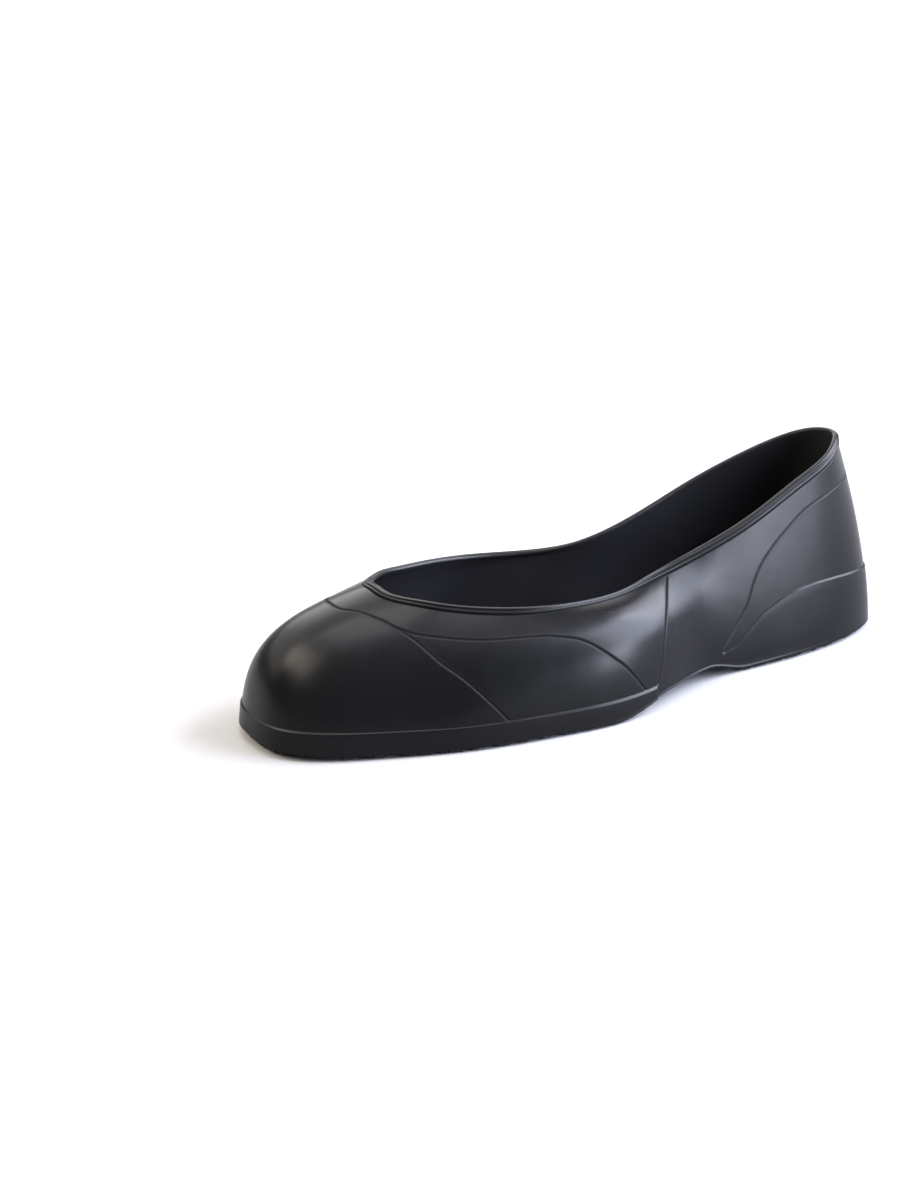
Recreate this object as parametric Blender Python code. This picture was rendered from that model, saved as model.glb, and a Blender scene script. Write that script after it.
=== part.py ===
"""Low rubber overshoe for the left foot, pulled on over a street shoe.

The form is a wall drawn around a last.  Short tables give the sole's outline, the collar and
the wall's fullness, one row for each station from toe to heel, and a periodic spline joins them.
Rows, widths and heights are in millimetres from the toe tip, the middle line and the floor.
The parent empty carries the shoe to its frame: toe towards -Y, lateral side +X, floor at Z = 0.
"""

from math import ceil, radians

import bmesh
import bpy
import numpy as np

MM = 0.001

# Driving dimensions, millimetres
LENGTH = 305.0          # the upper's foot, toe tip to heel back
WALL = 2.0              # rubber of the upper
PROUD = 0.9             # foxing and heel band stand out from the upper by this
GAP = 0.3               # between neighbouring pieces
TREAD = 2.0             # depth of the tread fields
PANEL_RISE = 0.5        # the arch panel lies this much above the lugs' level
TREAD_INSET = 1.0       # the tread fields end this far inside the outline
TOE_SPRING = 2.0
SPRING_STATION = 0.24   # the toe lifts in front of this station
ARCH = 5.4              # height of the sole's edge at the arch
ARCH_STATIONS = (0.47, 0.58, 0.66, 0.735)
FIELD_ENDS = (0.460, 0.660)     # the tread fields end at these stations
PANEL_ENDS = (0.461, 0.465, 0.655, 0.659)   # steps from the fields to the arch panel
SEAM = 0.546            # the foxing ends at the seam in the side
SEAM_SLOPE = 0.002      # half the run of the foxing's end face, as a share of the length
RIB = 0.5               # rib along the sole's lower edge stands out by this
RIB_HEIGHT = 1.6
STEP_EDGE = 0.4         # size of the small bevels along the steps
SOLE_EDGE = 0.2         # bevel of the sole's lowest edge
FILLET = 1.5            # between the wall and the floor inside
STATION_SPACING = 10.0  # largest chord along the sole's outline
FEWEST_STEPS = 3        # between two rows of the last
GROOVE = 0.8            # radius of the moulded lines
GROOVE_SINK = 0.25      # their centres lie this deep in the wall
LINE_STEPS = 2          # pieces of a moulded line between two rows of its table

# Sampling
RIB_SAMPLES = 241       # along a rib of wall
SIDE_SAMPLE_COUNT = 1301    # along a side of the outline
PLACE_STEP = 0.01       # for slopes along the outline
RISE_STEP = 0.002       # for slopes up the wall

# One row for each station.  Columns: station (share of the length), half widths of the sole
# on both sides, the collar point that the row's rib of wall runs to (station, half widths,
# height), and the rib's shape: box (1 rises first, 0 leans in at once), full (roundness of the
# shoulder) and lean (share of the lean that starts at the sole).
LAST_COLUMNS = ("station", "lateral", "medial", "rim_station", "rim_lateral", "rim_medial",
                "rim_height", "box", "full", "lean")
LAST = np.array([
    (0.000, -4.0, 4.0, 0.203, -1.5, 1.5, 61.5, 0.78, 3.80, 0.09),
    (0.012, 14.5, 25.0, 0.209, 9.2, 11.5, 60.4, 0.75, 3.50, 0.09),
    (0.050, 27.0, 37.5, 0.235, 19.0, 20.3, 59.2, 0.66, 2.90, 0.08),
    (0.130, 39.5, 46.5, 0.276, 26.6, 28.5, 56.6, 0.64, 2.45, 0.05),
    (0.250, 53.0, 49.5, 0.346, 35.4, 35.3, 53.7, 0.66, 2.45, 0.03),
    (0.380, 59.8, 48.0, 0.435, 37.8, 36.6, 50.5, 0.76, 2.55, 0.02),
    (0.490, 60.8, 37.0, 0.527, 34.6, 30.2, 49.2, 0.74, 2.80, 0.01),
    (0.570, 53.6, 31.5, 0.595, 30.0, 26.2, 52.2, 0.58, 3.10, 0.01),
    (0.660, 42.0, 34.6, 0.677, 29.2, 26.2, 58.9, 0.42, 3.10, 0.00),
    (0.760, 39.4, 39.0, 0.764, 28.4, 27.6, 67.7, 0.38, 2.70, 0.01),
    (0.870, 36.6, 41.0, 0.859, 23.2, 23.6, 78.4, 0.36, 2.50, 0.02),
    (0.950, 28.6, 33.6, 0.926, 16.8, 17.2, 85.3, 0.39, 2.70, 0.01),
    (0.988, 18.6, 18.6, 0.955, 8.5, 8.5, 88.4, 0.41, 2.90, 0.01),
    (1.000, 0.0, 0.0, 0.966, 0.0, 0.0, 89.0, 0.46, 2.80, 0.01),
])

# Top edge of the foxing, the shank's edge and the heel band.
# Columns: station, height above the floor, share of PROUD by which the band stands out.
BAND_COLUMNS = ("station", "height", "proud")
BAND = np.array([
    (0.000, 13.7, 1.0),
    (0.050, 13.2, 1.0),
    (0.130, 12.3, 1.0),
    (0.240, 11.5, 1.0),
    (SEAM - SEAM_SLOPE, 11.2, 1.0),
    (SEAM + SEAM_SLOPE, 11.2, 0.0),
    (0.690, 11.2, 0.0),
    (0.712, 12.6, 0.4),
    (0.730, 17.0, 0.7),
    (0.747, 21.4, 1.0),
    (0.767, 25.5, 1.0),
    (0.800, 29.4, 1.0),
    (0.830, 31.3, 1.0),
    (0.870, 31.9, 1.0),
    (0.910, 31.4, 1.0),
    (0.950, 30.0, 1.0),
    (1.000, 27.8, 1.0),
])

# Lower edge of the outsole's side.  Columns: station, height above the sole's edge.
SIDE_EDGE = np.array([
    (0.000, 1.5),
    (0.380, 1.5),
    (0.460, 0.5),
    (0.660, 0.5),
    (0.730, 1.1),
    (0.800, 1.5),
    (1.000, 1.5),
])

# The floor that the wearer's shoe stands on.  Columns: station, height above the sole's edge.
FLOOR = np.array([
    (0.000, 6.5),
    (0.470, 6.5),
    (0.580, 3.6),
    (0.655, 4.0),
    (0.690, 4.8),
    (0.730, 6.3),
    (1.000, 6.5),
])

# The collar's section, from the plain wall up to the lip.  Columns: distance below the rim
# along the wall, and how far the surface stands out from the plain wall.
COLLAR = np.array([
    (5.0, 0.0),
    (4.6, -0.7),
    (4.1, -0.7),
    (3.7, 0.6),
    (3.2, 1.1),
    (2.6, 0.8),
    (2.2, 0.2),
    (1.7, 0.7),
    (1.1, 1.3),
    (0.3, 1.0),
])
LIP = 0.3               # the rim's top stands out from the plain wall by this

# Moulded lines.  Columns: station of the rib of wall that the point lies on, and its height on
# that rib, from 0 at the sole to 1 at the rim.  A line that starts at a tip spans both sides.
TOE_CAP = [(0.000, 0.920), (0.010, 0.930), (0.033, 0.910), (0.060, 0.869), (0.128, 0.754),
           (0.188, 0.608), (0.225, 0.504), (0.257, 0.383), (0.287, 0.246), (0.312, 0.100)]
SIDE_PANEL = [(0.057, 0.871), (0.104, 0.822), (0.152, 0.800), (0.212, 0.783), (0.287, 0.767),
              (0.345, 0.743), (0.377, 0.713), (0.402, 0.683), (0.423, 0.629), (0.442, 0.562),
              (0.466, 0.458), (0.485, 0.367), (0.500, 0.275), (0.526, 0.060)]
SIDE_SEAM = [(0.592, 0.925), (0.587, 0.860), (0.579, 0.629), (0.569, 0.421), (0.561, 0.254),
             (0.549, 0.040)]
COUNTER = [(1.000, 0.880), (0.963, 0.883), (0.915, 0.884), (0.864, 0.877), (0.815, 0.833),
           (0.789, 0.796), (0.767, 0.742), (0.751, 0.658), (0.738, 0.542), (0.716, 0.390),
           (0.696, 0.200), (0.687, 0.060)]

RUBBER = (0.018, 0.019, 0.021, 1.0)
SOLE_RUBBER = (0.014, 0.015, 0.016, 1.0)
TREAD_RUBBER = (0.020, 0.021, 0.023, 1.0)


def smooth(t):
    """Ease from 0 to 1."""
    t = np.clip(t, 0.0, 1.0)
    return t * t * (3.0 - 2.0 * t)


def column(name):
    """Index of a column of the last's table."""
    return LAST_COLUMNS.index(name)


def ring_nodes():
    """The last's rows as nodes around the shoe: toe, lateral side, heel, medial side."""
    nodes = []
    for side, rows in ((1.0, LAST), (-1.0, LAST[-2:0:-1])):
        half = column("lateral") if side > 0 else column("medial")
        rim_half = column("rim_lateral") if side > 0 else column("rim_medial")
        for row in rows:
            nodes.append((side * row[half], LENGTH * row[0],
                          side * row[rim_half], LENGTH * row[column("rim_station")],
                          row[column("rim_height")],
                          row[column("box")], row[column("full")], row[column("lean")]))
    return np.array(nodes)


def spline_bends(knots, values):
    """Second derivatives of the periodic cubic spline through the values."""
    span = np.diff(knots)
    count = len(span)
    slope = (np.roll(values, -1, axis=0) - values) / span[:, None]
    matrix = np.zeros((count, count))
    for i in range(count):
        matrix[i, i - 1] += span[i - 1]
        matrix[i, i] += 2.0 * (span[i - 1] + span[i])
        matrix[i, (i + 1) % count] += span[i]
    return np.linalg.solve(matrix, 6.0 * (slope - np.roll(slope, 1, axis=0)))


NODES = ring_nodes()
CHORDS = np.linalg.norm((np.roll(NODES, -1, axis=0) - NODES)[:, :2], axis=1)
KNOTS = np.concatenate([[0.0], np.cumsum(CHORDS)])
BENDS = spline_bends(KNOTS, NODES)


def ring(places):
    """The nodes' values between the nodes; a place counts nodes around the shoe."""
    places = np.mod(places, len(NODES))
    cell = np.floor(places).astype(int)
    after = (cell + 1) % len(NODES)
    b = (places - cell)[..., None]
    a = 1.0 - b
    bow = (a ** 3 - a) * BENDS[cell] + (b ** 3 - b) * BENDS[after]
    return a * NODES[cell] + b * NODES[after] + bow * CHORDS[cell][..., None] ** 2 / 6.0


def sole_level(y):
    """Height of the sole's lower edge: toe spring and arch."""
    f = y / LENGTH
    spring = TOE_SPRING * np.clip((SPRING_STATION - f) / SPRING_STATION, 0.0, None) ** 2
    start, full, end, flat = ARCH_STATIONS
    return spring + ARCH * smooth((f - start) / (full - start)) * smooth((flat - f) / (flat - end))


def wall(places, rise):
    """Points of the plain wall; rise goes from 0 at the sole's edge to 1 at the rim."""
    x, y, rim_x, rim_y, rim_z, box, full, lean = np.moveaxis(ring(places), -1, 0)
    angle = np.clip(rise, 0.0, 1.0) * np.pi / 2.0
    inward = 1.0 - np.clip(np.cos(angle), 0.0, 1.0) ** (2.0 / full)
    upward = np.sin(angle) ** (2.0 / full)
    across = inward + lean * (upward - inward)
    level = sole_level(y)
    z = level + (rim_z - level) * (inward + box * (upward - inward))
    return np.stack([x + (rim_x - x) * across, y + (rim_y - y) * across, z], axis=-1)


def wall_normal(places, rise):
    """Outward normals of the plain wall."""
    rise = np.clip(rise, RISE_STEP, 1.0 - RISE_STEP)
    along = wall(places + PLACE_STEP, rise) - wall(places - PLACE_STEP, rise)
    up = wall(places, rise + RISE_STEP) - wall(places, rise - RISE_STEP)
    normal = np.cross(along, up)
    return normal / np.linalg.norm(normal, axis=-1, keepdims=True)


def skin(places, rise, out):
    """The wall moved outward by out, level at the sole's edge."""
    return wall(places, rise) + wall_normal(places, rise) * np.asarray(out)[..., None]


def rise_at_height(places, height):
    """Rise where each rib of wall reaches the given height above the sole's edge."""
    samples = np.linspace(0.0, 1.0, RIB_SAMPLES)
    result = []
    for place, goal in zip(places, height):
        rib = wall(np.full_like(samples, place), samples)
        result.append(np.interp(goal, rib[:, 2] - rib[0, 2], samples))
    return np.array(result)


def rise_below_rim(places, distance):
    """Rise at a distance below the rim, measured along each rib of wall."""
    samples = np.linspace(0.0, 1.0, RIB_SAMPLES)
    result = []
    for place in places:
        rib = wall(np.full_like(samples, place), samples)
        steps = np.linalg.norm(np.diff(rib, axis=0), axis=1)
        left = np.concatenate([np.cumsum(steps[::-1])[::-1], [0.0]])
        result.append(np.interp(-distance, -left, samples))
    return np.array(result)


def outline(places, inset):
    """The sole's outline, moved inward."""
    points = ring(places)[:, :2]
    along = ring(places + PLACE_STEP)[:, :2] - ring(places - PLACE_STEP)[:, :2]
    along /= np.linalg.norm(along, axis=1, keepdims=True)
    outward = np.stack([along[:, 1], -along[:, 0]], axis=1)
    return points - outward * inset


HEEL_PLACE = float(len(LAST) - 1)
SIDE_SAMPLES = np.linspace(0.0, HEEL_PLACE, SIDE_SAMPLE_COUNT)
LATERAL_STATIONS = np.maximum.accumulate(ring(SIDE_SAMPLES)[:, 1]) / LENGTH
MEDIAL_STATIONS = np.maximum.accumulate(ring(-SIDE_SAMPLES)[:, 1]) / LENGTH


def lateral_places(stations):
    """Places on the lateral side at the given shares of the length."""
    return np.interp(stations, LATERAL_STATIONS, SIDE_SAMPLES)


def medial_places(stations):
    """Places on the medial side at the given shares of the length."""
    return len(NODES) - np.interp(stations, MEDIAL_STATIONS, SIDE_SAMPLES)


def side_stations():
    """Stations from toe to heel, close enough for the outline, with those of the steps."""
    extra = (SEAM - SEAM_SLOPE, SEAM + SEAM_SLOPE) + FIELD_ENDS + PANEL_ENDS
    places = []
    for i in range(len(LAST) - 1):
        steps = max(FEWEST_STEPS, ceil(CHORDS[i] / STATION_SPACING))
        places.extend(i + np.arange(steps) / steps)
    stations = np.interp(places, SIDE_SAMPLES, LATERAL_STATIONS)
    clear = [s for s in stations if all(abs(s - e) > 0.006 for e in extra)]
    return np.array(sorted(clear + list(extra) + [1.0]))


def around(stations):
    """Places all around the shoe: toe tip, lateral side, heel back, medial side."""
    return np.concatenate([lateral_places(stations), medial_places(stations[-2:0:-1])])


def loft(name, rings, hollow, material, shoe):
    """Skin rings of equal point counts; hollow joins the last ring to the first,
    otherwise both end rings are closed by strips between paired points."""
    bm = bmesh.new()
    rows = [[bm.verts.new(point) for point in points * MM] for points in rings]
    count = len(rows[0])
    joins = list(zip(rows, rows[1:] + rows[:1])) if hollow else list(zip(rows, rows[1:]))
    for low, high in joins:
        for i in range(count):
            j = (i + 1) % count
            bm.faces.new((low[i], low[j], high[j], high[i]))
    if not hollow:
        for row, turn in ((rows[0], -1), (rows[-1], 1)):
            for i in range(count // 2):
                face = [row[i], row[i + 1], row[-(i + 1) % count], row[-i % count]]
                face = list(dict.fromkeys(face))
                if len(face) > 2:
                    bm.faces.new(face[::turn])
    mesh = bpy.data.meshes.new(name)
    bm.normal_update()
    bm.to_mesh(mesh)
    bm.free()
    mesh.materials.append(material)
    mesh.shade_smooth()
    mesh.set_sharp_from_angle(angle=radians(35.0))
    piece = bpy.data.objects.new(name, mesh)
    shoe.objects.link(piece)
    return piece


def rubber(name, colour, roughness):
    """Plain rubber."""
    material = bpy.data.materials.new(name)
    material.use_nodes = True
    shader = material.node_tree.nodes["Principled BSDF"]
    shader.inputs["Base Color"].default_value = colour
    shader.inputs["Roughness"].default_value = roughness
    return material


def band(stations, name):
    """Height above the floor, or proud share, of the bands' top edge."""
    return np.interp(stations, BAND[:, 0], BAND[:, BAND_COLUMNS.index(name)])


def band_height(places, stations):
    """Height of the bands' top edge above the sole's edge."""
    return band(stations, "height") - sole_level(ring(places)[:, 1])


def upper(shoe, material):
    """Hollow wall from the bands up to the collar, open above and below."""
    stations = side_stations()
    places = around(stations)
    both = np.concatenate([stations, stations[-2:0:-1]])
    foot = rise_at_height(places, band_height(places, both))
    shoulder = rise_below_rim(places, COLLAR[0, 0])
    rings = []
    for share in np.linspace(0.0, 1.0, 9)[:-1]:
        rings.append(skin(places, foot + (shoulder - foot) * share, np.zeros(len(places))))
    for distance, proud in COLLAR:
        rings.append(skin(places, rise_below_rim(places, distance), np.full(len(places), proud)))
    rim = rise_below_rim(places, 0.0)
    rings.append(skin(places, rim, np.full(len(places), LIP)))
    rings.append(skin(places, rim, np.full(len(places), LIP - WALL)))
    for share in np.linspace(1.0, 0.0, 9):
        rise = foot + (rise_below_rim(places, 1.0) - foot) * share
        rings.append(skin(places, rise, np.full(len(places), -WALL)))
    return loft("upper", rings, True, material, shoe)


def outsole(shoe, material):
    """Cup that closes the upper: slab, foxing, shank's edge and heel band."""
    stations = side_stations()
    places = around(stations)
    both = np.concatenate([stations, stations[-2:0:-1]])
    lift = np.interp(both, PANEL_ENDS, (TREAD, PANEL_RISE, PANEL_RISE, TREAD))
    lower = np.interp(both, SIDE_EDGE[:, 0], SIDE_EDGE[:, 1])
    floor = np.interp(both, FLOOR[:, 0], FLOOR[:, 1])
    top = band_height(places, both) - GAP
    proud = PROUD * band(both, "proud")
    edge = outline(places, TREAD_INSET)

    def side(height, out):
        return skin(places, rise_at_height(places, height), out)

    rings = [
        np.column_stack([edge, sole_level(edge[:, 1]) + lift]),
        side(lower + SOLE_EDGE, proud + RIB),
        side(lower + RIB_HEIGHT, proud + RIB),
        side(lower + RIB_HEIGHT + STEP_EDGE, proud),
        side(top - STEP_EDGE, proud),
        side(top, np.where(proud > STEP_EDGE, proud - STEP_EDGE, proud)),
        side(top, np.full(len(places), -WALL)),
        side(np.minimum(floor + FILLET, (floor + top) / 2.0), np.full(len(places), -WALL)),
        side(floor, np.full(len(places), -WALL - FILLET)),
    ]
    return loft("outsole", rings, False, material, shoe)


def tread_field(name, places, shoe, material):
    """Plate of tread under the sole; the places start at its rounded end."""
    edge = outline(places, TREAD_INSET + GAP)
    level = sole_level(edge[:, 1])
    rings = [np.column_stack([edge, level]), np.column_stack([edge, level + TREAD - GAP])]
    return loft(name, rings, False, material, shoe)


def routes(rows):
    """A line's points in the wall: one route over both sides, or one on each side."""
    rows = np.array(rows)
    padded = np.vstack([2.0 * rows[0] - rows[1], rows, 2.0 * rows[-1] - rows[-2]])
    points = []
    for i in range(len(rows) - 1):
        before, start, end, after = padded[i:i + 4]
        for t in np.arange(LINE_STEPS) / LINE_STEPS:
            points.append(((2.0 * start) + (end - before) * t
                           + (2.0 * before - 5.0 * start + 4.0 * end - after) * t ** 2
                           + (3.0 * start - before - 3.0 * end + after) * t ** 3) / 2.0)
    stations, rise = np.vstack([points, rows[-1:]]).T
    sink = np.full(len(stations), -GROOVE_SINK)
    lateral = skin(lateral_places(stations), rise, sink)
    medial = skin(medial_places(stations), rise, sink)
    if stations[0] in (0.0, 1.0):
        return [np.vstack([medial[:0:-1], lateral])]
    return [lateral, medial]


def moulded_line(points, upper_piece, cutters):
    """Round groove in the upper's wall along a route."""
    curve = bpy.data.curves.new("line", "CURVE")
    curve.dimensions = "3D"
    curve.bevel_depth = GROOVE * MM
    curve.bevel_resolution = 1
    curve.use_fill_caps = True
    spline = curve.splines.new("POLY")
    spline.points.add(len(points) - 1)
    for target, point in zip(spline.points, points * MM):
        target.co = (*point, 1.0)
    guide = bpy.data.objects.new("line_guide", curve)
    cutters.objects.link(guide)
    mesh = bpy.data.meshes.new_from_object(guide.evaluated_get(bpy.context.evaluated_depsgraph_get()))
    bm = bmesh.new()
    bm.from_mesh(mesh)
    bmesh.ops.remove_doubles(bm, verts=bm.verts, dist=0.00001)
    bm.to_mesh(mesh)
    bm.free()
    cutter = bpy.data.objects.new("line_cutter", mesh)
    cutter.matrix_world = guide.matrix_world
    bpy.data.objects.remove(guide)
    cutters.objects.link(cutter)
    cutter.hide_render = True
    cutter.display_type = "WIRE"
    cut = upper_piece.modifiers.new("moulded_line", "BOOLEAN")
    cut.operation = "DIFFERENCE"
    cut.object = cutter
    return cutter


def main():
    """Build the overshoe."""
    for old in list(bpy.data.objects):
        bpy.data.objects.remove(old)
    shoe = bpy.data.collections.new("overshoe")
    cutters = bpy.data.collections.new("cutters")
    bpy.context.scene.collection.children.link(shoe)
    bpy.context.scene.collection.children.link(cutters)

    root = bpy.data.objects.new("overshoe_frame", None)
    shoe.objects.link(root)
    edge = outline(SIDE_SAMPLES * 2.0, -PROUD - RIB)
    middle = (edge.max(axis=0) + edge.min(axis=0)) / 2.0
    root.location = (-middle[0] * MM, -middle[1] * MM, 0.0)

    upper_rubber = rubber("upper_rubber", RUBBER, 0.4)
    sole_rubber = rubber("sole_rubber", SOLE_RUBBER, 0.5)
    tread_rubber = rubber("tread_rubber", TREAD_RUBBER, 0.7)

    pieces = [upper(shoe, upper_rubber), outsole(shoe, sole_rubber)]
    stations = side_stations()
    front = stations[stations <= FIELD_ENDS[0]]
    rear = stations[stations >= FIELD_ENDS[1]]
    forefoot = np.concatenate([lateral_places(front), medial_places(front[:0:-1])])
    heel = np.concatenate([medial_places(rear[::-1]), lateral_places(rear[:-1])])
    pieces.append(tread_field("tread_forefoot", forefoot, shoe, tread_rubber))
    pieces.append(tread_field("tread_heel", heel, shoe, tread_rubber))

    for rows in (TOE_CAP, SIDE_PANEL, SIDE_SEAM, COUNTER):
        for points in routes(rows):
            moulded_line(points, pieces[0], cutters).parent = root
    for piece in pieces:
        piece.parent = root


main()
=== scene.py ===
"""Black rubber overshoe for the left foot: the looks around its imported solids."""

import bmesh
import bpy
import numpy as np
from mathutils import Matrix, Vector
from mathutils.kdtree import KDTree

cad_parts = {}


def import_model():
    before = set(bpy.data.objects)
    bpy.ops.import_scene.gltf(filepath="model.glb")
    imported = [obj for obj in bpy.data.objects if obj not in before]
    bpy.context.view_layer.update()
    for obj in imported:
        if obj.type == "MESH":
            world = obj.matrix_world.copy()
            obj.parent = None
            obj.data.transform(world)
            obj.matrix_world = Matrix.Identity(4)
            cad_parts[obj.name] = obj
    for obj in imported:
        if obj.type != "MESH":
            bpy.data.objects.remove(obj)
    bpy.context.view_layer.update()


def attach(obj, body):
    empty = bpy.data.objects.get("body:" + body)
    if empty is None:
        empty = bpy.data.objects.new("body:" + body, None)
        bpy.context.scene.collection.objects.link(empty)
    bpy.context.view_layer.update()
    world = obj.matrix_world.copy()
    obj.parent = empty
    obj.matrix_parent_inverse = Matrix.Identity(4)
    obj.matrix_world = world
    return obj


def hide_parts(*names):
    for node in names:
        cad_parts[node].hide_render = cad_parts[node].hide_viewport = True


MM = 0.001

# Driving dimensions, millimetres
LENGTH = 305.0          # the upper's foot, toe tip to heel back
WALL = 2.0              # rubber of the upper
PROUD = 0.9             # foxing and heel band stand out from the upper by at most this
GAP = 0.3               # between neighbouring pieces
TREAD = 2.0             # depth of the tread fields
PANEL_RISE = 0.5        # the arch panel lies this much above the lugs' level
TREAD_INSET = 1.0       # the tread fields end this far inside the outline
TOE_SPRING = 2.0
SPRING_STATION = 0.24   # the toe lifts in front of this station
ARCH = 5.4              # height of the sole's edge at the arch
ARCH_STATIONS = (0.47, 0.58, 0.66, 0.735)
FIELD_ENDS = (0.460, 0.660)     # the tread fields end at these stations
PANEL_ENDS = (0.461, 0.465, 0.655, 0.659)   # steps from the fields to the arch panel
SEAM = 0.546            # the foxing ends at the seam in the side
SEAM_SLOPE = 0.002      # half the run of the foxing's end face, as a share of the length
RIB = 0.5               # rib along the sole's lower edge stands out by at most this
FILLET = 1.5            # between the wall and the floor inside
GROOVE_SINK = 0.25      # the moulded lines' paths lie this deep in the wall
LINE_STEPS = 12         # pieces of a moulded line between two rows of its table
LINE_DEPTH = 0.75       # depth and half width of a moulded line
LINE_WIDTH = 0.38
LINE_LIP = 0.02         # height of the soft lips beside it, their place and half width
LIP_PLACE = 1.0
LIP_WIDTH = 0.4
COUNTER_SHARE = 0.45    # depth and painted shade of the counter's line, as a share of the others'
GROOVE_SHADE_REACH = 0.78          # shade is painted into the moulded lines out to this distance
COLLAR_DEPTH = 4.4      # the collar's beads lie in this part of the wall below the rim
COLLAR_LINE = 3.70      # depth of the crisp line under the collar's beads
COLLAR_SHADE = 0.32     # half width of the shade painted along that line
BEAD_BLUR = 0.12        # the collar's section is smoothed over this distance to each side
RIM_RISE = 0.7          # height of the rim's rounded top, as a share of its radius
TUCK = 0.3              # the outsole runs on this far inside the upper's wall
TUCK_IN = 0.06          # and lies this deep in it
TOP_GAP = 0.02          # between the bands' top edge and the upper's lower edge

# Sampling and merging
RIB_SAMPLES = 241       # along a rib of wall
SIDE_SAMPLE_COUNT = 1301    # along a side of the outline
TRACK_SAMPLES = 1041    # ribs of wall in the table of rises
BLUR_SAMPLES = 5        # of the collar's section, averaged into one
PLACE_STEP = 0.01       # for slopes along the outline
RISE_STEP = 0.002       # for slopes up the wall
SKETCH = 1.5            # the sheet's mesh, before it is refined along the moulded lines
LINE_REACHES = (3.5, 2.3)   # within each of these distances of a line it is divided once more
LINE_SAMPLE = 0.3       # between the points of a moulded line's search tree
PLAIN_REACH = 1.9       # farther from the lines the surface has the plain wall's own normals
FAR = 1000.0            # farther from a moulded line than any point of the shoe
MERGE = 0.002 * MM      # vertices this near each other become one
LEAST_EDGE = 0.01 * MM  # shorter edges of the lugs are dissolved
SAME_PLACE = 0.06 * MM  # a vertex this near a point of the plain wall lies on it
LEVEL_SHARE = 0.01      # share of PROUD below which a band is level with the upper
SOLE_CREASE, LUG_CREASE = np.radians((40.0, 30.0))  # sharper edges aren't smoothed

# One row for each station.  Columns: station (share of the length), half widths of the sole
# on both sides, the collar point that the row's rib of wall runs to (station, half widths,
# height), and the rib's shape: box (1 rises first, 0 leans in at once), full (roundness of the
# shoulder) and lean (share of the lean that starts at the sole).
LAST_COLUMNS = ("station", "lateral", "medial", "rim_station", "rim_lateral", "rim_medial",
                "rim_height", "box", "full", "lean")
LAST = np.array([
    (0.000, -4.0, 4.0, 0.203, -1.5, 1.5, 61.5, 0.78, 3.80, 0.09),
    (0.012, 14.5, 25.0, 0.209, 9.2, 11.5, 60.4, 0.75, 3.50, 0.09),
    (0.050, 27.0, 37.5, 0.235, 19.0, 20.3, 59.2, 0.66, 2.90, 0.08),
    (0.130, 39.5, 46.5, 0.276, 26.6, 28.5, 56.6, 0.64, 2.45, 0.05),
    (0.250, 53.0, 49.5, 0.346, 35.4, 35.3, 53.7, 0.66, 2.45, 0.03),
    (0.380, 59.8, 48.0, 0.435, 37.8, 36.6, 50.5, 0.88, 2.60, 0.02),
    (0.490, 60.8, 37.0, 0.527, 34.6, 30.2, 49.2, 0.92, 3.00, 0.01),
    (0.570, 53.6, 31.5, 0.595, 30.0, 26.2, 52.2, 0.70, 3.50, 0.01),
    (0.660, 42.0, 34.6, 0.677, 29.2, 26.2, 58.9, 0.44, 3.40, 0.00),
    (0.760, 39.4, 39.0, 0.764, 28.4, 27.6, 67.7, 0.38, 2.70, 0.01),
    (0.870, 36.6, 41.0, 0.859, 23.2, 23.6, 78.4, 0.36, 2.50, 0.02),
    (0.950, 28.6, 33.6, 0.926, 16.8, 17.2, 85.3, 0.39, 2.70, 0.01),
    (0.988, 18.6, 18.6, 0.955, 8.5, 8.5, 88.4, 0.41, 2.90, 0.01),
    (1.000, 0.0, 0.0, 0.966, 0.0, 0.0, 89.0, 0.46, 2.80, 0.01),
])

# Top edge of the foxing, the shank's edge and the heel band.
# Columns: station, height above the floor, share of PROUD by which the band stands out.
BAND_COLUMNS = ("station", "height", "proud")
BAND = np.array([
    (0.000, 13.7, 0.8),
    (0.050, 13.2, 0.7),
    (0.130, 12.3, 0.5),
    (0.240, 11.5, 0.5),
    (0.380, 11.35, 0.8),
    (SEAM - SEAM_SLOPE, 11.2, 1.0),
    (SEAM + SEAM_SLOPE, 11.2, 0.0),
    (0.690, 11.2, 0.0),
    (0.712, 12.6, 0.1),
    (0.730, 17.0, 0.2),
    (0.747, 21.4, 0.3),
    (0.767, 25.5, 0.5),
    (0.800, 29.4, 0.65),
    (0.830, 31.3, 0.7),
    (0.870, 31.9, 0.7),
    (0.910, 31.4, 0.7),
    (0.950, 30.0, 0.7),
    (1.000, 27.8, 0.7),
])

# The floor that the wearer's shoe stands on.  Columns: station, height above the sole's edge.
FLOOR = np.array([
    (0.000, 6.5),
    (0.470, 6.5),
    (0.580, 3.6),
    (0.655, 4.0),
    (0.690, 4.8),
    (0.730, 6.3),
    (1.000, 6.5),
])

# Moulded lines.  Columns: station of the rib of wall that the point lies on, and its rise on
# that rib, from 0 at the sole to 1 at the rim.  A line that starts at a tip spans both sides.
# The toe cap's line runs lower near the tip on the medial side than on the lateral side.
TOE_CAP = [(0.000, 0.905), (0.010, 0.930), (0.033, 0.910), (0.060, 0.869), (0.128, 0.754),
           (0.188, 0.608), (0.225, 0.508), (0.257, 0.383), (0.287, 0.237), (0.312, 0.100)]
MEDIAL_CAP = [(0.000, 0.905), (0.010, 0.896), (0.033, 0.886), (0.060, 0.862)] + TOE_CAP[4:]
SIDE_PANEL = [(0.057, 0.871), (0.104, 0.822), (0.152, 0.800), (0.212, 0.785), (0.287, 0.762),
              (0.345, 0.715), (0.377, 0.662), (0.404, 0.608), (0.423, 0.550), (0.442, 0.475),
              (0.466, 0.367), (0.485, 0.279), (0.499, 0.200), (0.524, 0.050)]
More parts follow.
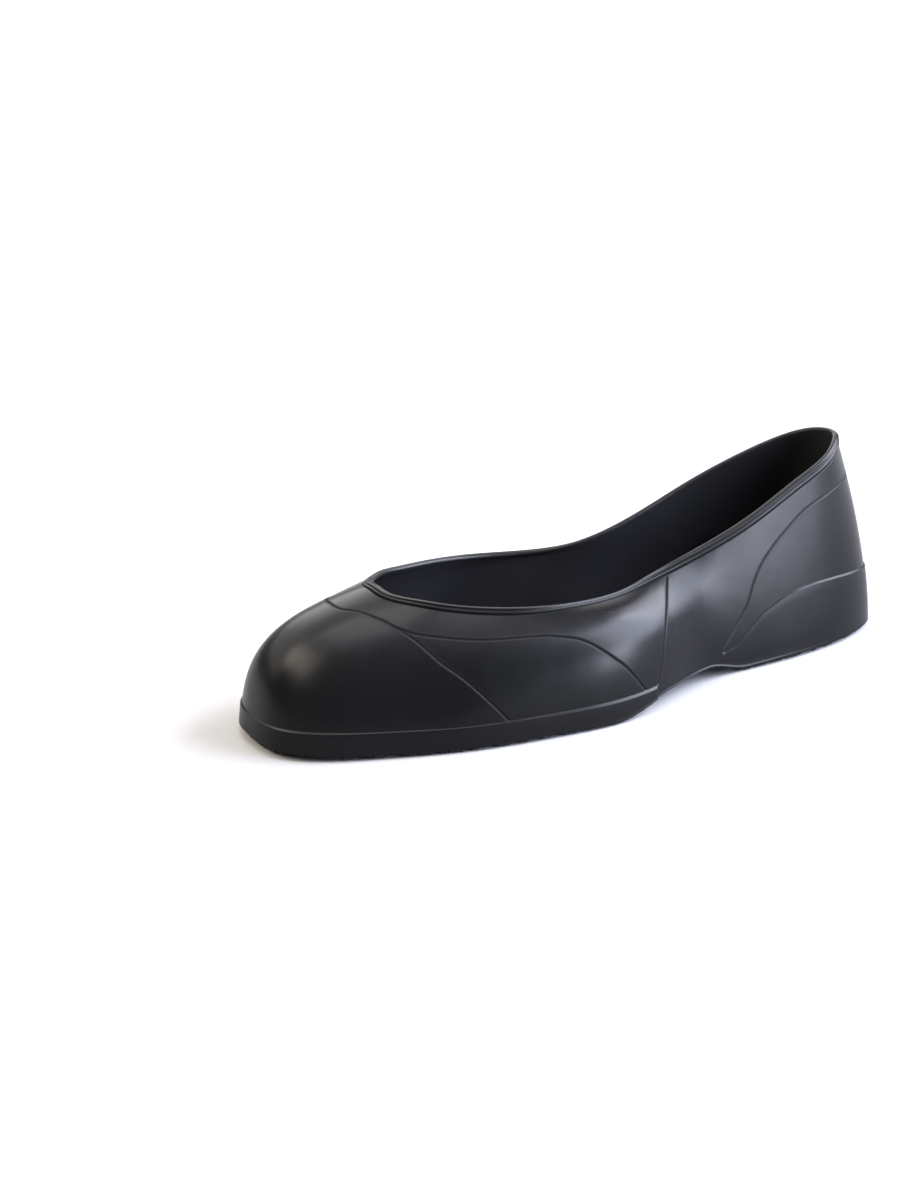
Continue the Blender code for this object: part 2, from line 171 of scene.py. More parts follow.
SIDE_SEAM = [(0.592, 0.970), (0.587, 0.879), (0.575, 0.567), (0.566, 0.333), (0.561, 0.179),
             (0.549, 0.030)]
COUNTER = [(1.000, 0.880), (0.963, 0.883), (0.915, 0.884), (0.864, 0.877), (0.815, 0.833),
           (0.789, 0.796), (0.767, 0.742), (0.751, 0.658), (0.738, 0.542), (0.716, 0.390),
           (0.696, 0.200), (0.687, 0.060)]

# The collar's section.  Columns: distance below the rim, how far it stands out.
BEADS = np.array([
    (0.00, 0.30), (0.25, 0.75), (0.55, 0.95), (0.85, 0.95), (1.15, 0.78), (1.42, 0.40),
    (1.62, 0.22), (1.82, 0.42), (2.10, 0.66), (2.60, 0.74), (3.00, 0.68), (3.25, 0.52),
    (3.40, 0.10), (3.55, -0.48), (3.70, -0.66), (3.85, -0.48), (4.00, -0.06), (4.15, 0.00),
])

# Lowest edge of the sole's side above the lugs' level, and the light rib above it.
# Columns: station, height, share of the rib.
SIDE_EDGE = np.array([
    (0.000, 1.5, 0.0),
    (0.380, 1.5, 0.0),
    (0.460, 0.5, 0.1),
    (0.600, 0.5, 0.6),
    (0.660, 0.5, 0.8),
    (0.730, 1.1, 0.6),
    (0.800, 1.5, 0.3),
    (0.900, 1.5, 0.1),
    (1.000, 1.5, 0.1),
])

# Section of the sole's side above its lowest edge.  Columns: height above that edge, how far it
# stands out from the band's face, share of the rib.
FOOT_SECTION = ((0.0, -0.55, 0.0), (0.05, -0.25, 0.5), (0.25, -0.05, 1.0), (0.6, 0.0, 1.0),
                (0.95, 0.0, 1.0), (1.2, 0.0, 0.7), (1.45, 0.0, 0.2), (1.7, 0.0, 0.0))
FOOT_HEIGHT = 2.0       # the plain face of the band starts this far above its lowest edge
FACE_ROWS = 8           # steps of that face, up to the ledge
# Section of the ledge at the bands' top, where the band stands out in full.  Columns: depth below
# the top edge, how far it stands out from the band's face.
LEDGE_SECTION = ((1.15, 0.0), (1.0, -0.02), (0.85, -0.12), (0.6, -0.36), (0.3, -0.64),
                 (0.1, -0.8), (0.0, -0.88))
LEDGE_HEIGHT = 1.2      # the plain face ends this far below the top edge
FILLET_STEPS = 4        # of the fillet between the wall and the floor inside


def smooth(t):
    """Ease from 0 to 1."""
    t = np.clip(t, 0.0, 1.0)
    return t * t * (3.0 - 2.0 * t)


def column(name):
    """Index of a column of the last's table."""
    return LAST_COLUMNS.index(name)


def ring_nodes():
    """The last's rows as nodes around the shoe: toe, lateral side, heel, medial side."""
    nodes = []
    for side, rows in ((1.0, LAST), (-1.0, LAST[-2:0:-1])):
        half = column("lateral") if side > 0 else column("medial")
        rim_half = column("rim_lateral") if side > 0 else column("rim_medial")
        for row in rows:
            nodes.append((side * row[half], LENGTH * row[0],
                          side * row[rim_half], LENGTH * row[column("rim_station")],
                          row[column("rim_height")],
                          row[column("box")], row[column("full")], row[column("lean")]))
    return np.array(nodes)


def spline_bends(knots, values):
    """Second derivatives of the periodic cubic spline through the values."""
    span = np.diff(knots)
    count = len(span)
    slope = (np.roll(values, -1, axis=0) - values) / span[:, None]
    matrix = np.zeros((count, count))
    for i in range(count):
        matrix[i, i - 1] += span[i - 1]
        matrix[i, i] += 2.0 * (span[i - 1] + span[i])
        matrix[i, (i + 1) % count] += span[i]
    return np.linalg.solve(matrix, 6.0 * (slope - np.roll(slope, 1, axis=0)))


NODES = ring_nodes()
CHORDS = np.linalg.norm((np.roll(NODES, -1, axis=0) - NODES)[:, :2], axis=1)
KNOTS = np.concatenate([[0.0], np.cumsum(CHORDS)])
BENDS = spline_bends(KNOTS, NODES)


def ring(places):
    """The nodes' values between the nodes; a place counts nodes around the shoe."""
    places = np.mod(places, len(NODES))
    cell = np.floor(places).astype(int)
    after = (cell + 1) % len(NODES)
    b = (places - cell)[..., None]
    a = 1.0 - b
    bow = (a ** 3 - a) * BENDS[cell] + (b ** 3 - b) * BENDS[after]
    return a * NODES[cell] + b * NODES[after] + bow * CHORDS[cell][..., None] ** 2 / 6.0


def sole_level(y):
    """Height of the sole's lower edge: toe spring and arch."""
    f = y / LENGTH
    spring = TOE_SPRING * np.clip((SPRING_STATION - f) / SPRING_STATION, 0.0, None) ** 2
    start, full, end, flat = ARCH_STATIONS
    return spring + ARCH * smooth((f - start) / (full - start)) * smooth((flat - f) / (flat - end))


def wall(places, rise):
    """Points of the plain wall; rise goes from 0 at the sole's edge to 1 at the rim."""
    x, y, rim_x, rim_y, rim_z, box, full, lean = np.moveaxis(ring(places), -1, 0)
    angle = np.clip(rise, 0.0, 1.0) * np.pi / 2.0
    inward = 1.0 - np.clip(np.cos(angle), 0.0, 1.0) ** (2.0 / full)
    upward = np.sin(angle) ** (2.0 / full)
    across = inward + lean * (upward - inward)
    level = sole_level(y)
    z = level + (rim_z - level) * (inward + box * (upward - inward))
    return np.stack([x + (rim_x - x) * across, y + (rim_y - y) * across, z], axis=-1)


def wall_normal(places, rise):
    """Outward normals of the plain wall."""
    rise = np.clip(rise, RISE_STEP, 1.0 - RISE_STEP)
    along = wall(places + PLACE_STEP, rise) - wall(places - PLACE_STEP, rise)
    up = wall(places, rise + RISE_STEP) - wall(places, rise - RISE_STEP)
    normal = np.cross(along, up)
    return normal / np.linalg.norm(normal, axis=-1, keepdims=True)


def skin(places, rise, out):
    """The wall moved outward by out, level at the sole's edge."""
    return wall(places, rise) + wall_normal(places, rise) * np.asarray(out)[..., None]


def rise_at_height(places, height):
    """Rise where each rib of wall reaches the given height above the sole's edge."""
    samples = np.linspace(0.0, 1.0, RIB_SAMPLES)
    result = []
    for place, goal in zip(places, height):
        rib = wall(np.full_like(samples, place), samples)
        result.append(np.interp(goal, rib[:, 2] - rib[0, 2], samples))
    return np.array(result)


def outline(places, inset):
    """The sole's outline, moved inward."""
    points = ring(places)[:, :2]
    along = ring(places + PLACE_STEP)[:, :2] - ring(places - PLACE_STEP)[:, :2]
    along /= np.linalg.norm(along, axis=1, keepdims=True)
    outward = np.stack([along[:, 1], -along[:, 0]], axis=1)
    return points - outward * inset


HEEL_PLACE = float(len(LAST) - 1)
SIDE_SAMPLES = np.linspace(0.0, HEEL_PLACE, SIDE_SAMPLE_COUNT)
LATERAL_STATIONS = np.maximum.accumulate(ring(SIDE_SAMPLES)[:, 1]) / LENGTH
MEDIAL_STATIONS = np.maximum.accumulate(ring(-SIDE_SAMPLES)[:, 1]) / LENGTH


def lateral_places(stations):
    """Places on the lateral side at the given shares of the length."""
    return np.interp(stations, LATERAL_STATIONS, SIDE_SAMPLES)


def medial_places(stations):
    """Places on the medial side at the given shares of the length."""
    return len(NODES) - np.interp(stations, MEDIAL_STATIONS, SIDE_SAMPLES)


def around(stations):
    """Places all around the shoe: toe tip, lateral side, heel back, medial side."""
    lateral = lateral_places(stations)
    lateral[0], lateral[-1] = 0.0, HEEL_PLACE
    return np.concatenate([lateral, medial_places(stations[-2:0:-1])])


def band(stations, name):
    """Height above the floor, or proud share, of the bands' top edge."""
    return np.interp(stations, BAND[:, 0], BAND[:, BAND_COLUMNS.index(name)])


def band_height(places, stations):
    """Height of the bands' top edge above the sole's edge."""
    return band(stations, "height") - sole_level(ring(places)[:, 1])


def through(rows):
    """Smooth curve through a line's rows: its stations and rises."""
    rows = np.array(rows)
    padded = np.vstack([2.0 * rows[0] - rows[1], rows, 2.0 * rows[-1] - rows[-2]])
    points = []
    for i in range(len(rows) - 1):
        before, start, end, after = padded[i:i + 4]
        for t in np.arange(LINE_STEPS) / LINE_STEPS:
            points.append(((2.0 * start) + (end - before) * t
                           + (2.0 * before - 5.0 * start + 4.0 * end - after) * t ** 2
                           + (3.0 * start - before - 3.0 * end + after) * t ** 3) / 2.0)
    return np.vstack([points, rows[-1:]]).T


def routes(rows, medial_rows):
    """A line's points in the wall: one route over both sides, or one on each side."""
    stations, rise = through(rows)
    lateral = skin(lateral_places(stations), rise, np.full(len(stations), -GROOVE_SINK))
    stations, rise = through(medial_rows)
    medial = skin(medial_places(stations), rise, np.full(len(stations), -GROOVE_SINK))
    if stations[0] in (0.0, 1.0):
        return [np.vstack([medial[:0:-1], lateral])]
    return [lateral, medial]


def perimeter_places(lengths):
    """Places at lengths along the outline's chords, from the toe tip past the lateral side."""
    return np.interp(np.mod(lengths, KNOTS[-1]), KNOTS, np.arange(len(KNOTS)))


def wall_table(rows_below, rows_collar):
    """Rises on sampled ribs of wall: even steps from the bands to the collar, then to the rim."""
    track = np.linspace(0.0, len(NODES), TRACK_SAMPLES)
    samples = np.linspace(0.0, 1.0, RIB_SAMPLES)
    stations = np.clip(ring(track)[:, 1] / LENGTH, 0.0, 1.0)
    goal = band_height(track, stations)
    table = []
    for place, height in zip(track, goal):
        rib = wall(np.full_like(samples, place), samples)
        climb = np.concatenate([[0.0], np.cumsum(np.linalg.norm(np.diff(rib, axis=0), axis=1))])
        foot = np.interp(height, rib[:, 2] - rib[0, 2], climb)
        shoulder = climb[-1] - COLLAR_DEPTH
        goals = np.concatenate([np.linspace(foot, shoulder, rows_below + 1),
                                np.linspace(shoulder, climb[-1], rows_collar + 1)[1:]])
        table.append(np.interp(goals, climb, samples))
    return track, np.array(table)


ROWS_BELOW, ROWS_COLLAR = 60, 24
TRACK, RISES = wall_table(ROWS_BELOW, ROWS_COLLAR)


def rise_of(places, v):
    """Rise at v: 0 at the bands, 1 at the collar's lowest bead, 2 at the rim."""
    row = np.where(v < 1.0, v * ROWS_BELOW, ROWS_BELOW + (v - 1.0) * ROWS_COLLAR)
    row = np.clip(row, 0.0, ROWS_BELOW + ROWS_COLLAR)
    spot = np.clip(np.mod(places, len(NODES)) / len(NODES) * (len(TRACK) - 1), 0.0, len(TRACK) - 1)
    i = np.minimum(spot.astype(int), len(TRACK) - 2)
    j = np.minimum(row.astype(int), ROWS_BELOW + ROWS_COLLAR - 1)
    a, b = spot - i, row - j
    return ((1 - a) * (1 - b) * RISES[i, j] + a * (1 - b) * RISES[i + 1, j]
            + (1 - a) * b * RISES[i, j + 1] + a * b * RISES[i + 1, j + 1])


def beads(distance):
    """How far the collar stands out at a distance below the rim, smoothed between the rows."""
    spread = np.linspace(-BEAD_BLUR, BEAD_BLUR, BLUR_SAMPLES)
    return np.mean([np.interp(distance + s, BEADS[:, 0], BEADS[:, 1]) for s in spread], axis=0)


def line_trees():
    """The moulded lines on the plain wall as search trees, with their directions."""
    trees = []
    lines = ((TOE_CAP, MEDIAL_CAP, 1.0), (SIDE_PANEL, SIDE_PANEL, 1.0),
             (SIDE_SEAM, SIDE_SEAM, 1.0), (COUNTER, COUNTER, COUNTER_SHARE))
    for rows, medial_rows, share in lines:
        for points in routes(rows, medial_rows):
            steps = np.linalg.norm(np.diff(points, axis=0), axis=1)
            track = np.concatenate([[0.0], np.cumsum(steps)])
            even = np.arange(0.0, track[-1], LINE_SAMPLE)
            fine = np.stack([np.interp(even, track, points[:, k]) for k in range(3)], axis=1)
            ahead = np.gradient(fine, axis=0)
            ahead /= np.linalg.norm(ahead, axis=1, keepdims=True)
            tree = KDTree(len(fine))
            for i, point in enumerate(fine):
                tree.insert(point, i)
            tree.balance()
            trees.append((tree, fine, ahead, share))
    return trees


TREES = line_trees()


def line_distance(points):
    """Distance to the nearest moulded line, and that line's share of the full depth."""
    nearest, deep = np.full(len(points), FAR), np.ones(len(points))
    for tree, fine, ahead, share in TREES:
        found = [tree.find(p) for p in points]
        index = np.array([f[1] for f in found])
        gap = points - fine[index]
        along = (gap * ahead[index]).sum(axis=1)
        inside = (index > 0) & (index < len(fine) - 1)
        along = np.clip(along, -LINE_SAMPLE / 2.0, LINE_SAMPLE / 2.0) * inside
        across = np.sqrt(np.maximum((gap ** 2).sum(axis=1) - along ** 2, 0.0))
        deep = np.where(across < nearest, share, deep)
        nearest = np.minimum(nearest, across)
    return nearest, deep


def groove(distance):
    """Depth profile of a moulded line: a narrow valley with soft lips."""
    return (-LINE_DEPTH * np.exp(-(distance / LINE_WIDTH) ** 2)
            + LINE_LIP * np.exp(-((distance - LIP_PLACE) / LIP_WIDTH) ** 2))


# The upper starts as a flat sheet.  Along it runs the length around the outline, and up it runs v:
# the wall from 0, the collar from 1, the rim's top from 2, the inner wall from 3 to 4, and the
# wall's lower edge at 5.
SHEET_ROWS = (40, 26, 8, 12)    # rows of the sheet in each of the four steps of v
SHEET_START = 0.64      # the sheet's two ends meet on the medial side at this station
INSIDE_FROM = 2.85      # the inside's rubber, painted paler to stand in for light inside the shoe, starts on the rim's top
LOWER_EDGE = 5.0


def sheet_mesh(columns, rows):
    """Flat sheet in (length, v).  The cells near a moulded line are divided twice, and those
    inside the shoe take the second material."""
    bm = bmesh.new()
    grid = [[bm.verts.new((x, y, 0.0)) for x in columns] for y in rows]
    for low, high in zip(grid, grid[1:]):
        for i in range(len(columns) - 1):
            bm.faces.new((low[i], low[i + 1], high[i + 1], high[i]))
    for reach in LINE_REACHES:
        faces = [f for f in bm.faces if f.calc_center_median().y < 1.0]
        centre = np.array([f.calc_center_median() for f in faces])
        places = perimeter_places(centre[:, 0])
        near = line_distance(wall(places, rise_of(places, centre[:, 1])))[0] < reach
        edges = {e for f, n in zip(faces, near) if n for e in f.edges}
        bmesh.ops.subdivide_edges(bm, edges=list(edges), cuts=1, use_grid_fill=True)
    for face in bm.faces:
        face.material_index = int(face.calc_center_median().y > INSIDE_FROM)
    bm.verts.index_update()
    return bm


def finish_mesh(bm, name, material, node):
    """Object from a mesh in millimetres of the shoe's frame, moved to the shared frame."""
    mesh = bpy.data.meshes.new(name)
    bm.normal_update()
    bm.to_mesh(mesh)
    bm.free()
    mesh.materials.append(material)
    mesh.shade_smooth()
    piece = bpy.data.objects.new(name, mesh)
    bpy.context.scene.collection.objects.link(piece)
    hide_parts(node)
    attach(piece, "root")
    return piece


def run_on(piece, places, rises):
    """Sets the wall's own normal on the vertices where two pieces meet in one smooth wall."""
    targets = wall(places, rises)
    level = band(targets[:, 1] / LENGTH, "proud") < LEVEL_SHARE
    targets = to_frame(targets)
    normals = wall_normal(places, rises)
    tree = KDTree(len(targets))
    for i, point in enumerate(targets):
        tree.insert(point, i)
    tree.balance()
    own = [(0.0, 0.0, 0.0)] * len(piece.data.vertices)
    for vert in piece.data.vertices:
        index, gap = tree.find(vert.co)[1:]
        if gap < SAME_PLACE and level[index]:
            own[vert.index] = tuple(normals[index])
    piece.data.normals_split_custom_set_from_vertices(own)


def to_frame(points):
    """From millimetres of the shoe's frame to metres of the shared frame."""
    return (points - [MIDDLE[0], MIDDLE[1], 0.0]) * MM


EDGE = outline(SIDE_SAMPLES * 2.0, -PROUD - RIB)
MIDDLE = (EDGE.max(axis=0) + EDGE.min(axis=0)) / 2.0


def upper_piece(material, lighter_inside_material):
    """The hollow upper: outer wall with its lines and beads, rounded rim, inner wall; shade is
    painted into the lines and along the collar's crisp line.
    """
    start = np.interp(medial_places(SHEET_START), np.arange(len(KNOTS)), KNOTS)
    columns = start + np.linspace(0.0, KNOTS[-1], int(KNOTS[-1] / SKETCH) + 1)
    steps = [v + np.linspace(0.0, 1.0, count + 1)[1:] for v, count in enumerate(SHEET_ROWS)]
    bm = sheet_mesh(columns, np.concatenate([[0.0], *steps, [LOWER_EDGE]]))
    flat = np.array([v.co for v in bm.verts])
    places, v = perimeter_places(flat[:, 0]), flat[:, 1]
    outer = np.where(v > 3.0, 2.0 * np.clip(4.0 - v, 0.0, 1.0), np.clip(v, 0.0, 2.0))
    rise = rise_of(places, outer)
    base = wall(places, rise)
    normal = wall_normal(places, rise)
    out = beads((2.0 - outer) * COLLAR_DEPTH) * (outer > 1.0)
    near = np.where(v < 1.0)[0]
    distance, deep = line_distance(base[near])
    out[near] += groove(distance) * deep
    # Painted shade: dark colour along the moulded lines and along the crisp line under the collar's
    # beads.
    painted_shade = np.zeros(len(v))
    painted_shade[near] = np.exp(-(distance / GROOVE_SHADE_REACH) ** 2) * deep
    from_line = (2.0 - outer) * COLLAR_DEPTH - COLLAR_LINE
    painted_shade = np.maximum(painted_shade, (v < 2.0) * np.exp(-(from_line / COLLAR_SHADE) ** 2))
    # The rim: half a turn from the outer wall over to the inner wall.
    turn = np.clip(v - 2.0, 0.0, 1.0) * np.pi
    lip = beads(np.zeros(1))[0]
    radius = (lip + WALL) / 2.0
    over = v > 2.0
    out[over] = (lip - radius) + radius * np.cos(turn[over])
    points = base + normal * out[:, None]
    up = np.cross(normal, wall(places + PLACE_STEP, rise) - wall(places - PLACE_STEP, rise))
    up /= np.linalg.norm(up, axis=1, keepdims=True)
    points += up * (RIM_RISE * radius * np.sin(turn) * (v < 3.0))[:, None]
    under = v == LOWER_EDGE
    points[under] = base[under]
    # The wall's own normals where it is plain and where the outsole runs on; zero means none.
    own = np.zeros((len(v), 3))
    plain = near[distance > PLAIN_REACH]
    own[plain] = normal[plain]
    own[under] = normal[under]
    foot = np.where(v == 0.0)[0]
    foot = foot[band(base[foot, 1] / LENGTH, "proud") < LEVEL_SHARE]
    own[foot] = normal[foot]
    # The painted shade goes to the mesh as a vertex attribute that the rubbers read.
    layer = bm.verts.layers.float.new("painted_shade_mask")
    normal_layer = bm.verts.layers.float_vector.new("own_normal")
    for vert, point, value, direction in zip(bm.verts, to_frame(points), painted_shade, own):
        vert.co = point
        vert[layer] = value
        vert[normal_layer] = direction
    bmesh.ops.remove_doubles(bm, verts=bm.verts, dist=MERGE)
    piece = finish_mesh(bm, "rubber_upper", material, "upper")
    piece.data.materials.append(lighter_inside_material)
    kept = piece.data.attributes["own_normal"].data
    piece.data.normals_split_custom_set_from_vertices([tuple(n.vector) for n in kept])
    return piece


END_STEPS = np.arange(-4.0, 4.01, 0.4)      # of the stations from the foxing's end, millimetres
PANEL_STEPS = 4         # stations on each step at the panel's ends
STATION_GAP = 0.0015    # between those stations and the even ones, as a share of the length
TIP_GAP = 0.0003        # and between the even ones and the two tips


def outsole_stations():
    """Stations from toe to heel, closer together at the foxing's end and at the panel's ends."""
    side = KNOTS[len(LAST) - 1]
    lengths = np.linspace(0.0, side, int(side / SKETCH) + 1)
    base = np.interp(perimeter_places(lengths), SIDE_SAMPLES, LATERAL_STATIONS)
    panel = [np.linspace(*ends, PANEL_STEPS) for ends in (PANEL_ENDS[:2], PANEL_ENDS[2:])]
    fine = np.concatenate([END_STEPS / LENGTH + SEAM] + panel)
    clear = [s for s in base
             if np.abs(fine - s).min() > STATION_GAP and TIP_GAP < s < 1.0 - TIP_GAP]
    return np.array([0.0] + sorted(clear + list(fine)) + [1.0])


def outsole_piece(material):
    """What closes the upper underneath: foxing, shank's edge, heel band and arch panel."""
    stations = outsole_stations()
    places = around(stations)
    both = np.concatenate([stations, stations[-2:0:-1]])
    lift = np.interp(both, PANEL_ENDS, (TREAD, PANEL_RISE, PANEL_RISE, TREAD))
    floor = np.interp(both, FLOOR[:, 0], FLOOR[:, 1])
    top = band_height(places, both) - TOP_GAP
    ledge = band(both, "proud")
    proud = PROUD * ledge
    edge = outline(places, TREAD_INSET)

    def side(height, out):
        """Ring at a height above the sole's edge, moved outward from the plain wall."""
        rise = rise_at_height(places, height)
        base = wall(places, rise)
        return base + wall_normal(places, rise) * np.broadcast_to(out, len(places))[:, None]

    # Rings from the underside's edge, up the side and over the top, down to the floor inside.
    low_edge = np.interp(both, SIDE_EDGE[:, 0], SIDE_EDGE[:, 1])
    rib = RIB * np.interp(both, SIDE_EDGE[:, 0], SIDE_EDGE[:, 2])
    rings = [np.column_stack([edge, sole_level(edge[:, 1]) + lift])]
    for height, out, share in FOOT_SECTION:
        rings.append(side(low_edge + height, proud + out + rib * share))
    for share in np.linspace(0.0, 1.0, FACE_ROWS + 1)[1:-1]:
        height = (low_edge + FOOT_HEIGHT) * (1 - share) + (top - LEDGE_HEIGHT) * share
        rings.append(side(height, proud))
    for depth, out in LEDGE_SECTION:
        rings.append(side(top - depth * ledge, proud + out * ledge))
    rings.append(side(top + TUCK, -TUCK_IN))
    rings.append(side(top + TUCK, TUCK_IN - WALL))
    rings.append(side(top, -WALL))
    low = np.minimum(floor + FILLET, (floor + top) / 2.0)
    rings.append(side(low, np.full(len(places), -WALL)))
    for t in np.linspace(0.0, np.pi / 2.0, FILLET_STEPS + 1)[1:]:
        inward = FILLET * (1.0 - np.cos(t))
        rings.append(side(floor + (low - floor) * (1.0 - np.sin(t)), -WALL - inward))
    bm = bmesh.new()
    rows = [[bm.verts.new(point) for point in to_frame(points)] for points in rings]
    count = len(rows[0])
    for low_row, high_row in zip(rows, rows[1:]):
        for i in range(count):
            j = (i + 1) % count
            bm.faces.new((low_row[i], low_row[j], high_row[j], high_row[i]))
    # The underside and the floor inside: strips across, from side to side.
    for row, turn in ((rows[0], -1), (rows[-1], 1)):
        for i in range(count // 2):
            face = list(dict.fromkeys([row[i], row[i + 1], row[-(i + 1) % count], row[-i % count]]))
            if len(face) > 2:
                bm.faces.new(face[::turn])
    bmesh.ops.remove_doubles(bm, verts=bm.verts, dist=MERGE)
    piece = finish_mesh(bm, "rubber_outsole", material, "outsole")
    piece.data.set_sharp_from_angle(angle=SOLE_CREASE)
    run_on(piece, places, rise_at_height(places, top))
    return piece


LUG_PITCH = 6.0
LUG_HALF = 2.2          # half of a lug's side at its foot
LUG_SLOPE = 0.18        # its sides lean in by this
CUT_HALF = (0.34, 0.16)     # half widths of the cuts across it, at the top and at the bottom
CUT_DEPTH = 0.45
PIT_DEPTH = 0.6         # the cuts' crossing is this much deeper
# Section across a lug.  Columns: place, height against its top.
LUG_LINES = ((-LUG_HALF, -TREAD), (-LUG_HALF + LUG_SLOPE, 0.0),
             (-CUT_HALF[0], 0.0), (-CUT_HALF[1], -CUT_DEPTH),
             (CUT_HALF[1], -CUT_DEPTH), (CUT_HALF[0], 0.0),
             (LUG_HALF - LUG_SLOPE, 0.0), (LUG_HALF, -TREAD))
LUG_GAP = 0.02          # between a lug's foot and the slab
LUG_COUNT = 40          # lugs to each side of the pattern's middle
FIELD_REACH = 90.0      # a field's lugs lie within this distance of its middle
EDGE_REACH = 1.2        # lugs whose middle lies at most this far outside the field are cut
SHORTEST_LEG = 0.001    # legs of a field's edge that are shorter than this are left out
DIAGONAL = np.sqrt(0.5)


def tread_piece(name, places, material, node):
    """Diamond lugs over one field, each cut in four by fine grooves; the field's edge cuts them."""
    edge = outline(places, TREAD_INSET + GAP)
    centre = (edge.max(axis=0) + edge.min(axis=0)) / 2.0
    closed = np.vstack([edge, edge[:1]])
    leg = np.diff(closed, axis=0)
    real = np.linalg.norm(leg, axis=1) > SHORTEST_LEG
    closed = np.vstack([closed[:-1][real], edge[:1]])
    leg = leg[real]
    size = (leg ** 2).sum(axis=1)

    def nearest(points):
        """Nearest points of the field's edge, and depths inside it, less than 0 outside."""
        gap = points[:, None] - closed[None, :-1]
        share = np.clip((gap * leg).sum(axis=2) / size, 0.0, 1.0)
        foot = closed[:-1] + leg * share[..., None]
        away = np.linalg.norm(points[:, None] - foot, axis=2)
        pick = away.argmin(axis=1)
        rows = np.arange(len(points))
        level = closed[None, :, 1] > points[:, 1:]
        crossed = level[:, 1:] != level[:, :-1]
        beyond = (gap[..., 0] * leg[:, 1] - gap[..., 1] * leg[:, 0]) * np.sign(leg[:, 1]) < 0.0
        inside = (crossed & beyond).sum(axis=1) % 2
        return foot[rows, pick], away[rows, pick] * (2.0 * inside - 1.0)

    i, j = np.meshgrid(np.arange(-LUG_COUNT, LUG_COUNT), np.arange(-LUG_COUNT, LUG_COUNT))
    half = LUG_PITCH / np.sqrt(2.0)
    centres = np.stack([(i - j).ravel() * half, (i + j).ravel() * half + centre[1]], axis=1)
    centres = centres[(np.abs(centres - centre) < FIELD_REACH).all(axis=1)]
    centres = centres[nearest(centres)[1] > -EDGE_REACH]
    bm = bmesh.new()
    for cx, cy in centres:
        flat, rise = [], []
        for b, drop_b in LUG_LINES:
            for a, drop_a in LUG_LINES:
                flat.append((cx + (a - b) * DIAGONAL, cy + (a + b) * DIAGONAL))
                pit = PIT_DEPTH if max(abs(a), abs(b)) == CUT_HALF[1] else 0.0
                rise.append(min(drop_a, drop_b) - pit)
        flat = np.array(flat)
        foot, deep = nearest(flat)
        flat = np.where((deep < 0.0)[:, None], foot, flat)
        z = sole_level(flat[:, 1]) - np.maximum(np.array(rise), -TREAD + LUG_GAP)
        verts = [bm.verts.new(p) for p in to_frame(np.column_stack([flat, z]))]
        n = len(LUG_LINES)
        last = n - 1
        for k in (r * n + c for r in range(last) for c in range(last)):
            bm.faces.new((verts[k], verts[k + n], verts[k + n + 1], verts[k + 1]))
        rim = (list(range(n)) + [r * n + last for r in range(1, n)]
               + [n * n - 1 - r for r in range(1, n)] + [(last - r) * n for r in range(1, last)])
        bm.faces.new([verts[k] for k in rim])
    bmesh.ops.dissolve_degenerate(bm, edges=bm.edges, dist=LEAST_EDGE)
    bmesh.ops.recalc_face_normals(bm, faces=bm.faces)
    piece = finish_mesh(bm, name, material, node)
    piece.data.set_sharp_from_angle(angle=LUG_CREASE)
    return piece


# Noises in the rubbers, each as scale per metre and detail: pale bloom, gloss, fine grain, and
# the slow waves that the mould leaves.
BLOOM_NOISE = (22.0, 4.0)
GLOSS_NOISE = (35.0, 5.0)
GRAIN_NOISE = (1900.0, 2.0)
WAVE_NOISE = (70.0, 2.0)
BLOOM_RANGE = (0.35, 0.75)      # the noise's values at which the bloom starts and is full
GLOSS_RANGE = (0.3, 0.7)        # and those at which the roughness is least and greatest
GRAIN_DEPTH = 0.06 * MM
WAVE_DEPTH = 0.4 * MM
WAVE_STRENGTH = 0.35
# Colour of the shade painted into the moulded lines, and the roughness there
PAINTED_SHADE_COLOUR = (0.0015, 0.0015, 0.0017, 1.0)
CREVICE_ROUGHNESS = 0.95
GLEAM = 0.1225          # specular level of the rubbers

# The rubbers.  Columns: name, colour, colour of the bloom, roughness from and to, grain.
RUBBERS = (
    ("satin_rubber_upper", (0.0020, 0.0021, 0.0024), (0.0030, 0.0031, 0.0034), (0.26, 0.34), 0.3),
    # The inside's paler colour is painted light: it stands in for the light that reaches into the
    # shoe.
    ("inside_rubber_painted_lighter", (0.0100, 0.0100, 0.0115), (0.0125, 0.0125, 0.0140), (0.45, 0.60), 0.4),
    ("satin_rubber_sole", (0.0020, 0.0020, 0.0023), (0.0030, 0.0030, 0.0033), (0.30, 0.38), 0.35),
    ("matt_rubber_tread", (0.012, 0.012, 0.013), (0.018, 0.018, 0.018), (0.5, 0.65), 0.6),
)

MAP_SOCKETS = ("From Min", "From Max", "To Min", "To Max")


